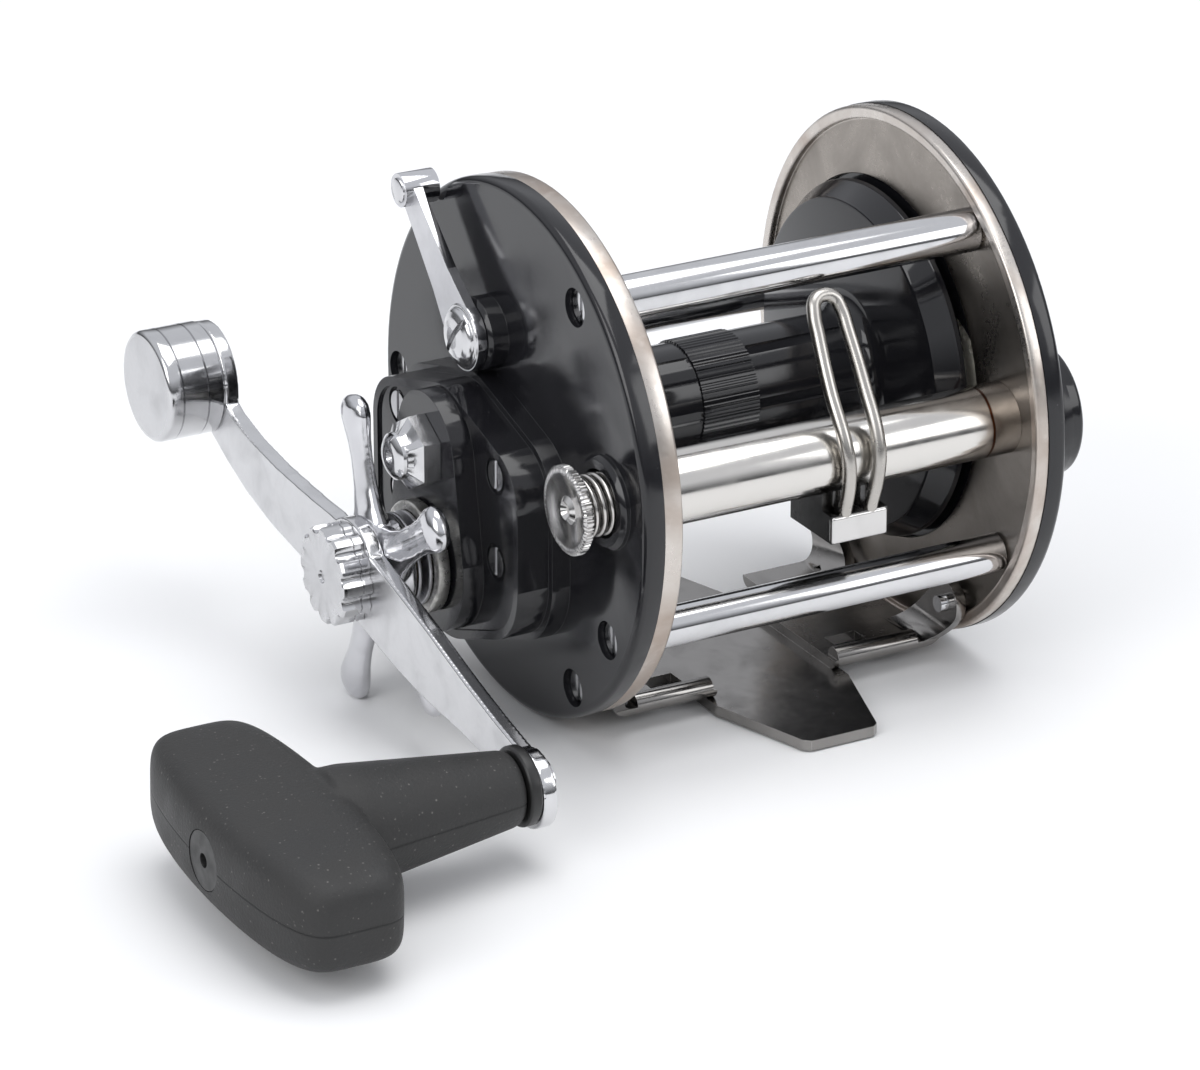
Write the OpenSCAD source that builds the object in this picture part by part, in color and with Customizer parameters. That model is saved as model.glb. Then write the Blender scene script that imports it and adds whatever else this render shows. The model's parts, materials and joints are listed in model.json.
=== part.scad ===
// Level-wind trolling reel: cage, spool, level wind, gears, drag, clutch and crank.
// Millimetres. X runs along the spool from the crank side (-) to the tail side (+),
// -Y is the front, +Z is up, and the origin is on the underside of the foot.

/* [Frame] */
// radius of both side plates
plate_r = 38; // [30:0.5:55]
// thickness of both side plates
plate_t = 3; // [2.4:0.1:4]
// distance between the inner faces of the side plates
cage_w = 60.4; // [45:0.2:90]
// height of the plates' centre above the underside of the foot
plate_z = 38; // [38:0.5:60]
// thickness of the frame rings' flat web
ring_web_t = 1; // [0.8:0.1:1.6]
// width of the crank-side ring's rim along the spool
rim_w_crank = 2.9; // [1.6:0.1:4]
// width of the tail-side ring's rim along the spool
rim_w_tail = 1.9; // [1.6:0.1:4]
// thickness of the foot's sheet metal
sheet_t = 1.5; // [1.2:0.1:2.5]
// width of the foot's blades
blade_w = 21.5; // [18:0.5:26]
// length of the foot from blade tip to blade tip
foot_l = 69; // [60:0.5:90]

/* [Spool] */
// distance of the spool axis behind the plates' centre
spool_y = 5.5; // [0:0.1:8]
// radius of the spool flanges
flange_r = 25.9; // [20:0.1:30]
// radius of the spool arbor
arbor_r = 7.9; // [7:0.1:14]
// radius of the spool shaft
shaft_r = 2; // [1.6:0.1:3]

/* [Level wind] */
// distance of the worm axis in front of the plates' centre
worm_y = 27.3; // [24:0.1:30]
// height of the worm axis above the plates' centre
worm_z = 2.3; // [-4:0.1:6]
// outer radius of the worm's cover tube
tube_r = 5.1; // [4.6:0.1:6]
// distance of the line guide from mid-cage at rest
guide_x = 3; // [-15:0.1:15]
// diameter of the line guide's wire
wire_d = 2; // [1.6:0.1:2.4]
// distance between the middles of the line guide's two legs
guide_gap = 4.6; // [4:0.1:7]

/* [Gears] */
// module of the crank gears
drive_module = 0.6; // [0.5:0.05:0.8]
// teeth on the main gear
main_teeth = 39; // [36:1:44]
// teeth on the pinion
pinion_teeth = 13; // [11:1:16]
// module of the level wind gears
wind_module = 0.7; // [0.5:0.05:0.8]
// teeth on the idler, which is an odd number
idler_teeth = 31; // [27:2:35]
// play between gear teeth, along the pitch circle
backlash = 0.12; // [0.06:0.02:0.2]

/* [Crank] */
// distance from the crank shaft to the grip
crank_l = 52; // [45:0.5:80]
// distance from the crank shaft to the counterweight
counter_l = 48.5; // [44:0.5:60]
// angle of the crank below the front horizontal
crank_angle = 12.5; // [-90:0.5:90]
// thickness of the crank arm
arm_t = 2.2; // [1.8:0.1:3]
// radius of the counterweight
counter_r = 8.1; // [6:0.1:11]
// length of the grip's crossbar
grip_l = 50; // [40:1:60]
// angle of the crossbar below the front horizontal at rest
grip_angle = 3; // [-90:1:90]
// radius from the crank shaft to the tips of the star wheel
star_r = 24; // [20:0.5:26]

/* [Free-spool lever] */
// distance from the lever's pivot to its thumb pin
lever_l = 23; // [16:0.5:30]
// angle of the lever above the rear horizontal
lever_angle = 45; // [20:1:80]

/* [Hidden] */
$fn = 96;
fine = 32;

// Side plates and rings, as positions along X.
crank_in = -cage_w / 2;
crank_out = crank_in - plate_t;
tail_in = cage_w / 2;
tail_out = tail_in + plate_t;
rim_t = 2;
ring_hole_r = flange_r + 0.5;
play = 0.05;

// Posts between the rings, each [distance behind the centre, height above it, radius].
top_post = [-18.4, 27.1, 3.1];
front_post = [-27.4, -18, 2.8];
rear_post = [33.8, 0, 1.9];
stand_hole = [17.6, -29];
post_bore_r = 1.25;
screw_r = 1.2;
screw_head_r = 2.4;
screw_head_t = 1;
screw_sink_r = 2.7;
screw_sink = 2;
slot_w = 0.7;

// Stand: a flat wing between two pairs of ears, on top of the foot's blades.
wing_z = 2 * sheet_t;
wing_half_y = 16.4;
wing_notch = [13.5, 10.5];
saddle_half = blade_w / 2 - 1.2;
bend_r = 5;
wing_in = -cage_w / 2 + rim_w_crank + 0.1;
wing_out = cage_w / 2 - rim_w_tail - 0.1;
wing_mid = (wing_in + wing_out) / 2;
wing_half = (wing_out - wing_in) / 2;

// Gear housing on the crank-side plate.
drive_centres = drive_module * (main_teeth + pinion_teeth) / 2;
shaft_z = -drive_centres;
skirt_x = crank_out - 2.8;
housing_x = crank_out - 7.6;
housing_floor_x = housing_x + 0.4;
platform_x = crank_out - 10.4;
cavity_x = housing_x + 1.2;
gear_room_x = crank_out - 2;
housing = [
    [spool_y, 0, 9],
    [spool_y - 14, -2.5, 7.5],
    [spool_y - 11.5, -14, 10],
    [spool_y, shaft_z, 12.6],
    [spool_y + 11.5, -14, 10],
    [spool_y + 14, -2.5, 7.5]
];
platform = [
    [spool_y, 0, 8.4],
    [spool_y, shaft_z, 11]
];
bridge_hole_y = 14.5;
bridge_hole_z = [0.8, -12];
bridge_t = 1.2;

// Crank stack on the crank shaft, as positions along X from the plate outwards.
stud_r = 2.4;
sleeve_r = 4.2;
sleeve_out = -56.4;
ratchet_x = crank_in - 1.1;
main_in = -31.5;
main_out = -35;
main_web_t = 0.9;
main_gear_tip_r = drive_module * (main_teeth / 2 + 0.8);
drag_r = 9.6;
washer_t = 0.55;
collar_out = -46;
star_in = -48.4;
star_out = -53;
star_arm_x = -51.3;
star_arm_t = 2.2;
star_ball_t = 3.4;
arm_in = -53.2;
arm_out = arm_in - arm_t;
nut_t = 4.4;
ratchet_turn = 45;
dog_at = [spool_y + 12.2, -8.5];

// Crank arm: stations [along the arm, across it, half width], from the counterweight
// to the grip.
counter_v = 1.9;
grip_end_r = 5.4;
arm_line = [
    [-counter_l, 0.4, 4.6],
    [-counter_l + 5, -1.4, 4],
    [-counter_l + 10, -2.6, 4],
    [-32, -3.2, 4.4],
    [-24, -3, 4.9],
    [-15, -2, 5.3],
    [-6, -0.8, 5.8],
    [6, -0.6, 6],
    [15, -0.7, 5.8],
    [22, -0.6, 5.4],
    [28, -0.4, 4.7],
    [34, -0.1, 4],
    [crank_l - 10, 0.1, 3.5],
    [crank_l - 5, -0.2, 3.8],
    [crank_l, -0.9, 4.6]
];

// Grip, as distances out from the arm's front face.
grip_gap = 2;
palm_out = 47;
neck_l = 23;
spindle_r = 1.95;
plug_r = 4.1;

// Pinion, yoke and cam.
pinion_in = -29.9;
teeth_in = -31.4;
teeth_out = -35.6;
neck_out = -36.8;
pinion_out = -37.6;
tang_w = 2.2;
yoke_x = -36.6;
yoke_t = 0.7;
finger_x = -30.9;
finger_t = 0.5;
cam_x = -29.9;
lever_z = 15.6;
lever_x = crank_out - 3;
cam_lift = 1.5;
pin_in = -33.7;
pin_out = -38.9;

// Level wind.
worm = [-worm_y, worm_z];
wind_reach = norm([spool_y + worm_y, worm_z]);
wind_heading = atan2(worm_z, -worm_y - spool_y);
spool_gear_teeth = 12;
worm_gear_teeth = round(2 * wind_reach / wind_module) - spool_gear_teeth - 2 * idler_teeth;
idler_reach = wind_module * (spool_gear_teeth + idler_teeth) / 2;
idler = [spool_y, 0] + idler_reach * [cos(wind_heading), sin(wind_heading)];
wind_gear_x = tail_in + 0.2;
wind_gear_t = 1.6;
gear_room_tail_x = tail_in + 2.1;
bump_r = 9.4;
bump_x = tail_out + 3.6;
worm_r = 2.6;
tube_bore_r = 4.3;
journal_r = 1.7;
worm_end = -24.4;
carriage_z = -8.5;
guide_foot = [-worm_y - 4.2, carriage_z + 1.1];
guide_knee = [-worm_y - tube_r - wire_d / 2 - 0.5, worm_z + 1.9];
guide_crown = [-23.6, 21.6];

// Spool, as positions along X out from mid-spool.
flange_in = 24;
flange_out = 28.4;
flange_face_r = flange_r - 2;
flange_recess_r = 20;
knurl = [-4, 5];
click_at = [spool_y + 14.9, 0];

// ---------------------------------------------------------------- helpers

// Extrudes a shape drawn in the plates' plane, behind and above their centre, from x0 to x1.
module slab(x0, x1)
    translate([min(x0, x1), 0, plate_z])
        rotate([90, 0, 90])
            linear_extrude(height = abs(x1 - x0))
                children();

// Turns a profile of [radius, x] points about an axis parallel to the spool.
module turned(at, profile)
    translate([0, at.x, plate_z + at.y])
        rotate([90, 0, 90])
            rotate_extrude()
                polygon(profile);

// Round bar parallel to the spool.
module bar(at, r, x0, x1)
    translate([min(x0, x1), at.x, plate_z + at.y])
        rotate([0, 90, 0])
            cylinder(r = r, h = abs(x1 - x0));

// Tube parallel to the spool.
module tube(at, r, bore_r, x0, x1)
    turned(at, [[bore_r, x0], [r, x0], [r, x1], [bore_r, x1]]);

module spot(at)
    translate([at.x, at.y])
        children();

function arc(centre, r, from, to, steps = 6) =
    [
        for (i = [0 : steps])
            let (angle = from + (to - from) * i / steps)
            centre + r * [cos(angle), sin(angle)]
    ];

// Strip that joins two circles of a convex outline along their outer tangent.
function tangent_strip(a, b, grow) =
    let (
        span = norm([b.x - a.x, b.y - a.y]),
        normal = atan2(b.y - a.y, b.x - a.x) - acos((a.z - b.z) / span),
        out = [cos(normal), sin(normal)],
        from = [a.x, a.y],
        to = [b.x, b.y]
    )
    [from, from + (a.z + grow) * out, to + (b.z + grow) * out, to];

// Convex outline round circles [y, z, radius] listed anticlockwise.
module outline(circles, grow = 0) {
    count = len(circles);
    if (count > 2)
        polygon([for (c = circles) [c.x, c.y]]);
    for (i = [0 : count - 1]) {
        spot(circles[i])
            circle(r = circles[i].z + grow);
        polygon(tangent_strip(circles[i], circles[(i + 1) % count], grow));
    }
}

function involute(angle) = tan(angle) * 180 / PI - angle;

// Gear outline with stub involute teeth, one tooth pointing along +X.
module gear_shape(teeth, size) {
    pressure = 25;
    pitch_r = teeth * size / 2;
    base_r = pitch_r * cos(pressure);
    root_r = pitch_r - size;
    tip_r = pitch_r + 0.8 * size;
    half = 90 / teeth - backlash / pitch_r * 45 / PI;
    steps = 4;
    radii = [for (i = [0 : steps]) root_r + (tip_r - root_r) * i / steps];
    flank = [for (r = radii) half + involute(pressure) - involute(acos(min(1, base_r / r)))];
    polygon([
        for (k = [0 : teeth - 1])
            for (side = [-1, 1])
                for (i = [0 : steps])
                    let (
                        j = side < 0 ? i : steps - i,
                        a = 360 * k / teeth + side * flank[j]
                    )
                    radii[j] * [cos(a), sin(a)]
    ]);
}

// Ratchet wheel outline with straight V gaps, one gap pointing along +X.
module ratchet_shape(teeth, r, depth)
    polygon([
        for (k = [0 : teeth - 1])
            for (p = [[0.5, r - depth], [0.95, r], [1.05, r]])
                let (a = 360 * (k + p[0] - 0.5) / teeth)
                p[1] * [cos(a), sin(a)]
    ]);

// Slotted screw: its head sits at x and points along side, its shank runs the other way.
module slotted_screw(at, x, side, head_r, head_t, shank_r, shank_l)
    translate([x, at.x, plate_z + at.y])
        rotate([0, side * 90, 0]) {
            difference() {
                cylinder(r = head_r, h = head_t);
                translate([-head_r - 1, -slot_w / 2, head_t / 2])
                    cube([2 * head_r + 2, slot_w, head_t]);
            }
            translate([0, 0, -shank_l])
                cylinder(r = shank_r, h = shank_l + 0.01);
        }

// Coil of round wire along +Z.
module coil(r, wire_r, pitch, turns)
    linear_extrude(height = pitch * turns, twist = -360 * turns, slices = 16 * turns, $fn = 12)
        polygon([
            for (a = [0 : 36 : 324])
                let (t = 360 * wire_r * sin(a) / pitch)
                (r + wire_r * cos(a)) * [cos(t), sin(t)]
        ]);

// ---------------------------------------------------------------- frame

// Counterbored screw holes through a side plate, from its outer face inwards.
module plate_screw_holes(outer_x, side)
    for (at = [top_post, front_post, rear_post, stand_hole, [-stand_hole.x, stand_hole.y]]) {
        bar(at, screw_sink_r, outer_x + side, outer_x - side * screw_sink);
        bar(at, screw_r + 0.15, outer_x + side, outer_x - side * (plate_t + 1));
    }

module plate_disc(outer_x, side)
    turned([0, 0], concat(
        [[0, outer_x - side * plate_t], [0, outer_x]],
        [for (p = arc([plate_r - 1, 1], 1, -90, 0)) [p.x, outer_x - side * p.y]],
        [[plate_r, outer_x - side * plate_t]]
    ));

module crank_side_plate()
    color([0.03, 0.03, 0.035])
        difference() {
            union() {
                plate_disc(crank_out, -1);
                slab(skirt_x, crank_out + 1)
                    outline(housing, 1);
                slab(housing_x, crank_out + 1)
                    outline(housing);
                slab(platform_x, housing_x + 1)
                    outline(platform);
                turned([spool_y, lever_z], [
                    [0, crank_out + 1], [0, lever_x], [4.6, lever_x],
                    [5.2, lever_x + 0.6], [5.2, crank_out + 1]
                ]);
                turned(worm, [
                    [0, crank_out + 1], [0, crank_out - 1.2], [6, crank_out - 1.2],
                    [6.6, crank_out - 0.6], [6.6, crank_out + 1]
                ]);
            }
            slab(housing_x - 1, housing_floor_x)
                difference() {
                    outline(housing, -1.3);
                    outline(platform, 0);
                }
            plate_screw_holes(crank_out, -1);
            // gear room, open towards the spool
            slab(cavity_x, crank_in + 1)
                outline(housing, -1.4);
            slab(gear_room_x, crank_in + 1)
                spot([spool_y, shaft_z])
                    circle(r = main_gear_tip_r + 0.25);
            // shafts and screws through the housing
            bar([spool_y, 0], 4.2, platform_x - 1, cavity_x + 1);
            bar([spool_y, shaft_z], 5.7, platform_x - 1, cavity_x + 1);
            for (side = [-1, 1])
                for (z = bridge_hole_z) {
                    bar([spool_y + side * bridge_hole_y, z], 2.7, housing_x - 1, housing_floor_x + 0.5);
                    bar([spool_y + side * bridge_hole_y, z], 1.3, housing_x - 1, cavity_x + 1);
                }
            // lever pivot and the room for its cam and the yoke's finger
            bar([spool_y, lever_z], 2.05, lever_x - 1, crank_in + 1);
            slab(crank_in - 2.3, crank_in + 1) {
                spot([spool_y, lever_z])
                    circle(r = 4.7);
                translate([spool_y - 2.4, 5])
                    square([4.8, lever_z - 5]);
            }
            // seat and hole for the take-down screw
            bar(worm, 4.8, crank_out - 2, crank_out + 0.8);
            bar(worm, 2.15, crank_out - 2, crank_in + 1);
        }

// Rolled rim and flat web of a frame ring. The web's outer face is at x, the rim points along side.
module ring_body(x, side, rim_w)
    turned([0, 0], concat(
        [[0, x], [plate_r - 0.1, x]],
        [for (p = arc([plate_r - 0.6, rim_w - 0.5], 0.5, 0, 90, 4)) [p.x, x + side * p.y]],
        [for (p = arc([plate_r - rim_t + 0.5, rim_w - 0.5], 0.5, 90, 180, 4)) [p.x, x + side * p.y]],
        [[plate_r - rim_t, x + side * ring_web_t], [0, x + side * ring_web_t]]
    ));

module ring_screw_holes(x)
    for (at = [top_post, front_post, rear_post, stand_hole, [-stand_hole.x, stand_hole.y]])
        bar(at, screw_r + 0.15, x - 4, x + 4);

module crank_side_ring()
    color([0.62, 0.58, 0.54])
        difference() {
            ring_body(crank_in, 1, rim_w_crank);
            bar([spool_y, 0], ring_hole_r, crank_in - 4, crank_in + 4);
            bar(worm, 2.15, crank_in - 4, crank_in + 4);
            ring_screw_holes(crank_in);
        }

module tail_side_ring()
    color([0.62, 0.58, 0.54])
        difference() {
            ring_body(tail_in, -1, rim_w_tail);
            bar([spool_y, 0], ring_hole_r, tail_in - 4, tail_in + 4);
            bar(worm, worm_r + play, tail_in - 4, tail_in + 4);
            ring_screw_holes(tail_in);
        }

module tail_plate()
    color([0.03, 0.03, 0.035]) {
        difference() {
            union() {
                plate_disc(tail_out, 1);
                turned(worm, concat(
                    [[0, tail_out - 1], [0, bump_x]],
                    [for (p = arc([bump_r - 0.8, -0.8], 0.8, 90, 0)) [p.x, bump_x + p.y]],
                    [[bump_r, tail_out + 1.4], [bump_r + 0.5, tail_out + 1.4], [bump_r + 0.5, tail_out - 1]]
                ));
                turned([spool_y, 0], [
                    [0, tail_out - 1], [0, tail_out + 2], [7.2, tail_out + 2],
                    [8.2, tail_out + 1], [8.2, tail_out - 1]
                ]);
            }
            plate_screw_holes(tail_out, 1);
            slab(tail_in - 1, gear_room_tail_x) {
                spot([spool_y, 0])
                    circle(r = 6);
                spot(idler)
                    circle(r = wind_module * (idler_teeth / 2 + 0.8) + 0.3);
                spot(worm)
                    circle(r = wind_module * (worm_gear_teeth / 2 + 0.8) + 0.3);
            }
            bar(worm, wind_module * (worm_gear_teeth / 2 + 0.8) + 0.3, tail_in, bump_x - 1.8);
            bar([spool_y, 0], 4.2, tail_in, tail_out + 3);
            // slot for the click's stem
            slab(tail_in - 1, tail_out + 1)
                translate([click_at.x - 2.8, -1.2])
                    square([4, 2.4]);
        }
        bar(idler, 1.5, tail_in + 0.1, gear_room_tail_x + 0.1);
    }

// Post with a threaded hole in each end.
module post(at)
    difference() {
        turned(at, [
            [0, crank_in + ring_web_t], [at.z - 0.4, crank_in + ring_web_t],
            [at.z, crank_in + ring_web_t + 0.4],
            [at.z, tail_in - ring_web_t - 0.4], [at.z - 0.4, tail_in - ring_web_t], [0, tail_in - ring_web_t]
        ]);
        for (side = [-1, 1])
            bar(at, post_bore_r, side * (cage_w / 2 - 8), side * cage_w / 2);
    }

module top_post()
    color([0.75, 0.76, 0.78])
        post(top_post);

module front_post()
    color([0.75, 0.76, 0.78])
        post(front_post);

module rear_post()
    color([0.75, 0.76, 0.78])
        post(rear_post);

module post_screws()
    color([0.75, 0.76, 0.78])
        for (at = [top_post, front_post, rear_post])
            for (side = [-1, 1])
                slotted_screw(at, side * (cage_w / 2 + plate_t - screw_sink), side,
                    screw_head_r, screw_head_t, screw_r, plate_t + 4);

module stand_screws()
    color([0.75, 0.76, 0.78])
        for (y = [-1, 1])
            for (side = [-1, 1])
                slotted_screw(
                    [y * stand_hole.x, stand_hole.y], side * (cage_w / 2 + plate_t - screw_sink), side,
                    screw_head_r, screw_head_t, screw_r, plate_t + 2.7
                );

// The wing's sheet seen along +Y: flat underneath the spool, bent up inside both rings' rims.
module wing_section()
    translate([wing_mid, 0])
        difference() {
            wing_corner(wing_half, bend_r, sheet_t);
            wing_corner(wing_half - sheet_t, bend_r - sheet_t, wing_z);
        }

// Area above z0 between two upright lines, with rounded lower corners.
module wing_corner(half, r, z0) {
    translate([-half, z0 + r])
        square([2 * half, 20]);
    translate([-half + r, z0])
        square([2 * (half - r), r + 1]);
    for (side = [-1, 1])
        translate([side * (half - r), z0 + r])
            circle(r = r);
}

// The wing seen along +X: two screw ears standing on its rolled edges.
module wing_outline() {
    screw_z = stand_hole.y;
    floor_z = wing_z - plate_z;
    for (side = [-1, 1]) {
        outline([[side * stand_hole.x, screw_z, 3.3], [side * (wing_half_y - 1.4), floor_z + 0.6, 1.4]]);
        outline([[side * stand_hole.x, screw_z, 3.3], [side * 8, floor_z - 0.5, 1]]);
        polygon([
            [side * stand_hole.x, screw_z],
            [side * (wing_half_y - 1.4), floor_z + 0.6],
            [side * 8, floor_z - 0.5]
        ]);
    }
    translate([-wing_half_y + 1.5, floor_z - sheet_t])
        square([2 * wing_half_y - 3, sheet_t + 0.01]);
    for (side = [-1, 1])
        translate([side * (wing_half_y - 1.5), floor_z])
            circle(r = sheet_t);
}

// Foot: a broad blade in front and a tapering one behind, which slide under the hoods of
// the rod's reel seat.
module blades()
    linear_extrude(height = sheet_t + 0.01)
        polygon([
            [-blade_w / 2, -18], [-5.9, -foot_l / 2 + 0.8], [-5, -foot_l / 2], [5, -foot_l / 2],
            [5.9, -foot_l / 2 + 0.8], [blade_w / 2, -18], [blade_w / 2, 11], [4, foot_l / 2 - 2],
            [2.4, foot_l / 2], [-2.4, foot_l / 2], [-4, foot_l / 2 - 2], [-blade_w / 2, 11]
        ]);

module wing()
    difference() {
        intersection() {
            rotate([90, 0, 0])
                linear_extrude(height = 60, center = true)
                    wing_section();
            slab(wing_in - 1, wing_out + 1)
                wing_outline();
        }
        // saddle along the foot, wider over the rear blade
        translate([-saddle_half, -30, sheet_t + 0.01])
            cube([2 * saddle_half, 60, 10]);
        translate([-wing_notch.x, wing_notch.y, sheet_t + 0.01])
            cube([2 * wing_notch.x, 10, 10]);
    }

module stand()
    color([0.3, 0.29, 0.28])
        difference() {
            union() {
                blades();
                wing();
                // rolled front edge on both sides of the saddle
                bar([1.5 - wing_half_y, wing_z - plate_z], sheet_t, wing_in + bend_r, -saddle_half - 0.6);
                bar([1.5 - wing_half_y, wing_z - plate_z], sheet_t, saddle_half + 0.6, wing_out - bend_r);
                // bosses that hold the ears off the rings
                for (end = [-1, 1]) {
                    bar([end * stand_hole.x, stand_hole.y], 1.9, crank_in + ring_web_t, wing_in + 0.5);
                    bar([end * stand_hole.x, stand_hole.y], 1.9, wing_out - 0.5, tail_in - ring_web_t);
                }
            }
            for (side = [-1, 1]) {
                translate([side * 15 - 2.5, -11.6, 0])
                    cube([5, 3.2, 3 * sheet_t]);
                bar([side * stand_hole.x, stand_hole.y], screw_r + play, crank_in, tail_in);
            }
        }

// ---------------------------------------------------------------- gears and clutch

module bridge()
    color([0.72, 0.6, 0.34]) {
        difference() {
            union() {
                slab(crank_in, crank_in + bridge_t)
                    outline([
                        [spool_y - 13.5, bridge_hole_z[0], 3.6],
                        [spool_y - 13.5, bridge_hole_z[1], 3.6],
                        [spool_y, shaft_z, 5],
                        [spool_y + 13.5, bridge_hole_z[1], 3.6],
                        [spool_y + 13.5, bridge_hole_z[0], 3.6]
                    ]);
                for (side = [-1, 1])
                    for (z = bridge_hole_z)
                        bar([spool_y + side * bridge_hole_y, z], 2.1, cavity_x, crank_in + 0.1);
                for (side = [-1, 1])
                    bar([spool_y + side * 8.6, 2.4], 0.9, cavity_x + 0.2, crank_in + 0.1);
                bar([spool_y, shaft_z], stud_r, -52, crank_in + 0.1);
                bar(dog_at, 1.2, ratchet_x - 0.2, crank_in + 0.1);
            }
            bar([spool_y, 0], 4.6, crank_in - 1, crank_in + 2);
            for (side = [-1, 1])
                for (z = bridge_hole_z)
                    bar([spool_y + side * bridge_hole_y, z], 1.15, cavity_x - 1, cavity_x + 6);
        }
    }

module bridge_screws()
    color([0.75, 0.76, 0.78])
        for (side = [-1, 1])
            for (z = bridge_hole_z)
                slotted_screw([spool_y + side * bridge_hole_y, z], housing_floor_x + 0.5, -1,
                    2.1, 0.5, 1.1, 5.5);

module gear_sleeve()
    color([0.72, 0.6, 0.34])
        difference() {
            union() {
                bar([spool_y, shaft_z], sleeve_r, sleeve_out, crank_in - 0.1);
                bar([spool_y, shaft_z], 5.4, main_in + 0.05, crank_in - 0.1);
            }
            bar([spool_y, shaft_z], stud_r + play, -53, crank_in + 1);
        }

module anti_reverse_ratchet()
    color([0.55, 0.55, 0.57])
        difference() {
            slab(ratchet_x, crank_in - 0.15)
                spot([spool_y, shaft_z])
                    rotate(ratchet_turn)
                        ratchet_shape(12, 9, 1.3);
            bar([spool_y, shaft_z], 5.4 + play, ratchet_x - 1, crank_in + 1);
        }

// Dog that swings in to stop the ratchet from running backwards.
module anti_reverse_dog()
    color([0.55, 0.55, 0.57])
        difference() {
            slab(ratchet_x + 0.05, crank_in - 0.2)
                outline([[dog_at.x, dog_at.y, 1.8], [dog_at.x - 4, dog_at.y - 0.8, 0.35]]);
            bar(dog_at, 1.2 + play, ratchet_x - 1, crank_in + 1);
        }

module main_gear()
    color([0.72, 0.6, 0.34])
        difference() {
            slab(main_out, main_in)
                spot([spool_y, shaft_z])
                    rotate(90)
                        gear_shape(main_teeth, drive_module);
            bar([spool_y, shaft_z], drag_r, main_out - 1, main_in - main_web_t);
            bar([spool_y, shaft_z], sleeve_r + play, main_out - 1, main_in + 1);
        }

// Flat washer of the drag stack; place 0 lies on the main gear's web.
module drag_washer(place) {
    x = main_in - main_web_t - place * washer_t;
    tube([spool_y, shaft_z], drag_r - 0.2, sleeve_r + 0.1, x - washer_t + 0.02, x - 0.02);
}

module drag_fibre_washers()
    color([0.45, 0.25, 0.15])
        for (place = [0, 2])
            drag_washer(place);

module drag_metal_washers()
    color([0.6, 0.6, 0.62])
        for (place = [1, 3])
            drag_washer(place);

module drag_collar()
    color([0.7, 0.7, 0.7])
        turned([spool_y, shaft_z], [
            [sleeve_r + 0.1, main_out - 0.1], [5.4, main_out - 0.1], [5.4, platform_x - 0.4],
            [8, platform_x - 0.4], [8, collar_out + 0.3], [7.7, collar_out], [sleeve_r + 0.1, collar_out]
        ]);

module spring_washers()
    color([0.6, 0.6, 0.62])
        for (flip = [-1, 1]) {
            x = (collar_out + star_in) / 2;
            turned([spool_y, shaft_z], [
                [sleeve_r + 0.2, x + flip * 0.1], [6.8, x + flip * 0.55],
                [6.8, x + flip * 1.1], [sleeve_r + 0.2, x + flip * 0.65]
            ]);
        }

module star_wheel()
    color([0.75, 0.76, 0.78])
        difference() {
            union() {
                turned([spool_y, shaft_z], [
                    [0, star_in], [6.4, star_in], [6.8, star_in - 0.4],
                    [6.8, star_out + 1.4], [6, star_out], [0, star_out]
                ]);
                for (k = [0 : 4])
                    translate([star_arm_x, spool_y, plate_z + shaft_z])
                        rotate([74 + 72 * k, 0, 0])
                            star_arm();
            }
            bar([spool_y, shaft_z], sleeve_r + play, -70, -40);
        }

// One arm of the star wheel along +Y, ending in a flattened ball.
module star_arm() {
    ball_r = 2.9;
    ball_at = star_r - ball_r;
    translate([-star_arm_t / 2, 0, 0])
        rotate([90, 0, 90])
            linear_extrude(height = star_arm_t)
                polygon([[4, -3.2], [11, -2], [ball_at, -2.2], [ball_at, 2.2], [11, 2], [4, 3.2]]);
    intersection() {
        translate([0, ball_at, 0])
            sphere(r = ball_r);
        translate([-star_ball_t / 2, 0, -ball_r])
            cube([star_ball_t, star_r, 2 * ball_r]);
    }
}

// ---------------------------------------------------------------- crank

// Places children on the crank: local +X points to the grip, +Y up across it, +Z outwards.
module on_crank(x)
    translate([x, spool_y, plate_z + shaft_z])
        rotate([0, -90, 0])
            rotate([0, 0, -90 - crank_angle])
                children();

module crank_arm()
    color([0.75, 0.76, 0.78])
        on_crank(arm_in)
            difference() {
                linear_extrude(height = arm_t) {
                    polygon([
                        for (side = [-1, 1])
                            for (i = [0 : len(arm_line) - 1])
                                let (at = arm_line[side < 0 ? i : len(arm_line) - 1 - i])
                                [at.x, at.y + side * at.z]
                    ]);
                    circle(r = 7.4);
                    translate([-counter_l, counter_v])
                        circle(r = counter_r - 0.2);
                    translate([crank_l, -0.9])
                        circle(r = grip_end_r);
                }
                translate([0, 0, -1])
                    cylinder(r = sleeve_r + play, h = 5);
                translate([crank_l, 0, -1])
                    cylinder(r = 2, h = 5);
            }

module crank_nut()
    color([0.75, 0.76, 0.78])
        on_crank(arm_out - 0.05)
            difference() {
                cylinder(r = 7, h = nut_t);
                for (k = [0 : 11])
                    rotate(30 * k)
                        translate([7.6, 0, -1])
                            cylinder(r = 1.3, h = 7, $fn = fine);
                translate([0, 0, -1])
                    cylinder(r = sleeve_r + play, h = 2.2);
            }

module counterweight()
    color([0.75, 0.76, 0.78])
        on_crank(arm_out - 0.02)
            translate([-counter_l, counter_v, 0])
                rotate_extrude()
                    polygon([
                        [0, 0], [counter_r - 0.4, 0], [counter_r, 0.4],
                        [counter_r, 2.4], [counter_r - 0.3, 2.6], [counter_r, 2.8],
                        [counter_r, 6.4], [counter_r - 0.3, 6.6], [counter_r, 6.8],
                        [counter_r, 8.3], [counter_r - 0.5, 8.8], [0, 8.8]
                    ]);

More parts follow.
